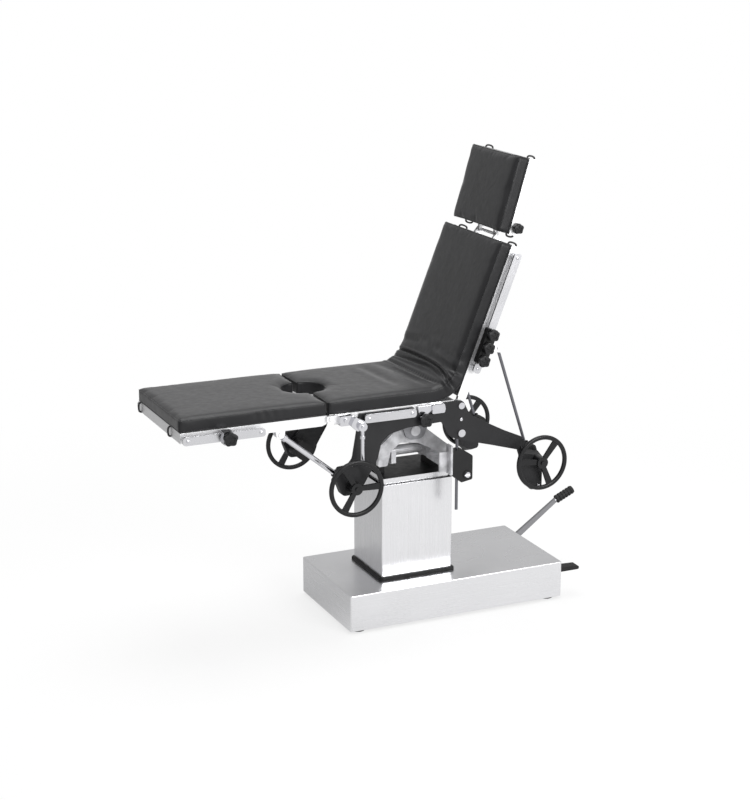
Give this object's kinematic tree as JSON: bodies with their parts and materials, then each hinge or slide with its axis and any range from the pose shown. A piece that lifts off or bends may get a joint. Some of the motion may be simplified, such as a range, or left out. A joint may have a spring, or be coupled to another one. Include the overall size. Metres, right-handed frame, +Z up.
{
  "type": "operating table",
  "caption": "Hydraulic operating table with handwheel-set leg and back sections, hinged headrest, tilting head, column lift and side rails on a box base.",
  "frame": {"origin": "on the floor under the middle of the table's overall length and width at rest", "axes": "+X towards the head end, +Y towards the side away from the picture's viewer, +Z up"},
  "size_m": [1.8894, 0.672, 1.8027],
  "materials": {
    "black_upholstery": "satin",
    "stainless": "brushed",
    "dark_steel": "satin",
    "black_paint": "satin",
    "grey_casting": "satin",
    "chrome_plate": "polished",
    "wheel_black": "gloss",
    "knob_plastic": "matte",
    "black_rubber": "matte"
  },
  "bodies": {
    "base": {"base_cover": "stainless", "base_frame": "dark_steel", "levelling_foot_1": "black_rubber", "levelling_foot_2": "black_rubber", "levelling_foot_3": "black_rubber", "levelling_foot_4": "black_rubber", "column_cover": "stainless", "column_gasket": "black_rubber", "lift_cylinder": "dark_steel"},
    "lift_head": {"lift_head": "dark_steel", "stage_cover": "stainless"},
    "cradle": {"cradle": "grey_casting", "tilt_gearbox": "black_paint"},
    "tilt_screw": {"tilt_screw": "chrome_plate"},
    "tilt_crank": {"tilt_crank_shaft": "chrome_plate"},
    "seat": {"seat_pad": "black_upholstery", "seat_frame": "stainless", "side_plate_near": "black_paint", "side_plate_far": "black_paint", "back_pin_near": "chrome_plate", "back_pin_far": "chrome_plate", "tilt_pin": "chrome_plate", "seat_rail_near": "stainless", "seat_rail_far": "stainless", "seat_clamp": "stainless", "post_socket": "stainless"},
    "seat_knob": {"seat_knob": "knob_plastic"},
    "post": {"post_rod": "chrome_plate"},
    "leg": {"leg_pad": "black_upholstery", "leg_frame": "stainless", "leg_rail_near": "stainless", "leg_rail_far": "stainless"},
    "leg_clamp": {"leg_clamp": "stainless"},
    "leg_knob": {"leg_knob": "knob_plastic"},
    "back": {"back_pad": "black_upholstery", "back_frame": "stainless", "back_rail_near": "stainless", "back_rail_far": "stainless", "back_clamp": "black_paint"},
    "back_knob_1": {"back_knob_1": "knob_plastic"},
    "back_knob_2": {"back_knob_2": "knob_plastic"},
    "back_knob_3": {"back_knob_3": "knob_plastic"},
    "head": {"head_pad": "black_upholstery", "head_frame": "stainless"},
    "head_knob": {"head_knob": "knob_plastic"},
    "head_gear": {"head_gear_near": "black_paint", "head_gear_far": "black_paint"},
    "foot_gear": {"foot_gear_near": "black_paint", "foot_gear_far": "black_paint"},
    "back_screws": {"back_screw_near": "chrome_plate", "back_screw_far": "chrome_plate"},
    "leg_screws": {"leg_screw_near": "chrome_plate", "leg_screw_far": "chrome_plate"},
    "head_wheel_near": {"head_wheel_near": "wheel_black"},
    "head_wheel_far": {"head_wheel_far": "wheel_black"},
    "foot_wheel_near": {"foot_wheel_near": "wheel_black"},
    "foot_wheel_far": {"foot_wheel_far": "wheel_black"},
    "pump": {"pump_lever": "stainless", "pump_grip": "black_rubber"},
    "release": {"release_pedal": "black_paint"}
  },
  "joints": [
    {"name": "column_lift", "type": "slide", "parent": "base", "child": "lift_head", "axis": [0, 0, 1], "range_m": [0, 0.25]},
    {"name": "lateral_tilt", "type": "hinge", "parent": "lift_head", "child": "cradle", "pos_m": [0.05231, 0, 0.64], "axis": [1, 0, 0], "range_deg": [-10, 10]},
    {"name": "longitudinal_tilt", "type": "hinge", "parent": "cradle", "child": "seat", "pos_m": [0.05231, 0, 0.745], "axis": [0, -1, 0], "range_deg": [-12, 12]},
    {"name": "tilt_screw_travel", "type": "slide", "parent": "cradle", "child": "tilt_screw", "axis": [0, 0, 1], "range_m": [-0.0275, 0.0275]},
    {"name": "tilt_crank_turn", "type": "hinge", "parent": "cradle", "child": "tilt_crank", "pos_m": [0.21631, -0.216, 0.582], "axis": [0, -1, 0], "range_deg": [-250, 250]},
    {"name": "back_tilt", "type": "hinge", "parent": "seat", "child": "back", "pos_m": [0.18031, 0, 0.867], "axis": [0, -1, 0], "range_deg": [-68.5, 4]},
    {"name": "leg_tilt", "type": "hinge", "parent": "seat", "child": "leg", "pos_m": [-0.35969, 0, 0.877], "axis": [0, -1, 0], "range_deg": [0, 75]},
    {"name": "head_tilt", "type": "hinge", "parent": "back", "child": "head", "pos_m": [0.42146, 0, 1.47921], "axis": [0, -1, 0], "range_deg": [-45, 12]},
    {"name": "head_gear_swing", "type": "hinge", "parent": "seat", "child": "head_gear", "pos_m": [0.49831, 0, 0.618], "axis": [0, -1, 0], "range_deg": [-5.36, 0.78]},
    {"name": "foot_gear_swing", "type": "hinge", "parent": "seat", "child": "foot_gear", "pos_m": [-0.28969, 0, 0.618], "axis": [0, -1, 0], "range_deg": [-0.5, 13.1]},
    {"name": "back_screw_travel", "type": "slide", "parent": "head_gear", "child": "back_screws", "axis": [-0.3082, 0, 0.9513], "range_m": [-0.3007, 0.0185]},
    {"name": "leg_screw_travel", "type": "slide", "parent": "foot_gear", "child": "leg_screws", "axis": [-0.774, 0, 0.6332], "range_m": [-0.2392, 0.001]},
    {"name": "head_wheel_turn_near", "type": "hinge", "parent": "seat", "child": "head_wheel_near", "pos_m": [0.49831, -0.322, 0.618], "axis": [0, -1, 0], "range_deg": [-1375, 85]},
    {"name": "foot_wheel_turn_near", "type": "hinge", "parent": "seat", "child": "foot_wheel_near", "pos_m": [-0.28969, -0.322, 0.618], "axis": [0, -1, 0], "range_deg": [-5, 1505]},
    {"name": "head_wheel_turn_far", "type": "hinge", "parent": "seat", "child": "head_wheel_far", "pos_m": [0.49831, 0.322, 0.618], "axis": [0, -1, 0], "range_deg": [-1375, 85]},
    {"name": "foot_wheel_turn_far", "type": "hinge", "parent": "seat", "child": "foot_wheel_far", "pos_m": [-0.28969, 0.322, 0.618], "axis": [0, -1, 0], "range_deg": [-5, 1505]},
    {"name": "leg_clamp_slide", "type": "slide", "parent": "leg", "child": "leg_clamp", "axis": [1, 0, 0], "range_m": [-0.12, 0.08]},
    {"name": "leg_knob_turn", "type": "hinge", "parent": "leg_clamp", "child": "leg_knob", "pos_m": [-0.77469, -0.3, 0.866], "axis": [0, -1, 0], "continuous": true},
    {"name": "seat_knob_turn", "type": "hinge", "parent": "seat", "child": "seat_knob", "pos_m": [0.02131, -0.27, 0.832], "axis": [0, -1, 0], "continuous": true},
    {"name": "back_knob_turn_1", "type": "hinge", "parent": "back", "child": "back_knob_1", "pos_m": [0.25124, -0.295, 1.04434], "axis": [0, -1, 0], "continuous": true},
    {"name": "back_knob_turn_2", "type": "hinge", "parent": "back", "child": "back_knob_2", "pos_m": [0.2703, -0.295, 1.09272], "axis": [0, -1, 0], "continuous": true},
    {"name": "back_knob_turn_3", "type": "hinge", "parent": "back", "child": "back_knob_3", "pos_m": [0.28935, -0.295, 1.14111], "axis": [0, -1, 0], "continuous": true},
    {"name": "head_knob_turn", "type": "hinge", "parent": "head", "child": "head_knob", "pos_m": [0.43577, -0.21, 1.52399], "axis": [0, -1, 0], "continuous": true},
    {"name": "post_swing", "type": "hinge", "parent": "seat", "child": "post", "pos_m": [-0.25169, -0.293, 0.846], "axis": [0, -1, 0], "range_deg": [0, 85]},
    {"name": "pump_stroke", "type": "hinge", "parent": "base", "child": "pump", "pos_m": [0.61231, 0.18, 0.085], "axis": [0, -1, 0], "range_deg": [-24, 0], "stiffness_Nm_per_rad": 12, "springref_deg": 20.05},
    {"name": "release_press", "type": "hinge", "parent": "base", "child": "release", "pos_m": [0.61231, -0.195, 0.104], "axis": [0, -1, 0], "range_deg": [-9, 0], "stiffness_Nm_per_rad": 4, "springref_deg": 20.05}
  ],
  "couplings": [
    {"joint": "tilt_screw_travel", "follows": "longitudinal_tilt", "m_per_rad": 0.129},
    {"joint": "tilt_crank_turn", "follows": "longitudinal_tilt", "ratio": 20},
    {"joint": "head_gear_swing", "follows": "back_tilt", "ratio": 0.071},
    {"joint": "back_screw_travel", "follows": "back_tilt", "m_per_rad": 0.2507},
    {"joint": "head_wheel_turn_near", "follows": "back_tilt", "ratio": 20},
    {"joint": "head_wheel_turn_far", "follows": "back_tilt", "ratio": 20},
    {"joint": "foot_gear_swing", "follows": "leg_tilt", "ratio": 0.168},
    {"joint": "leg_screw_travel", "follows": "leg_tilt", "m_per_rad": -0.182},
    {"joint": "foot_wheel_turn_near", "follows": "leg_tilt", "ratio": 20},
    {"joint": "foot_wheel_turn_far", "follows": "leg_tilt", "ratio": 20}
  ]
}
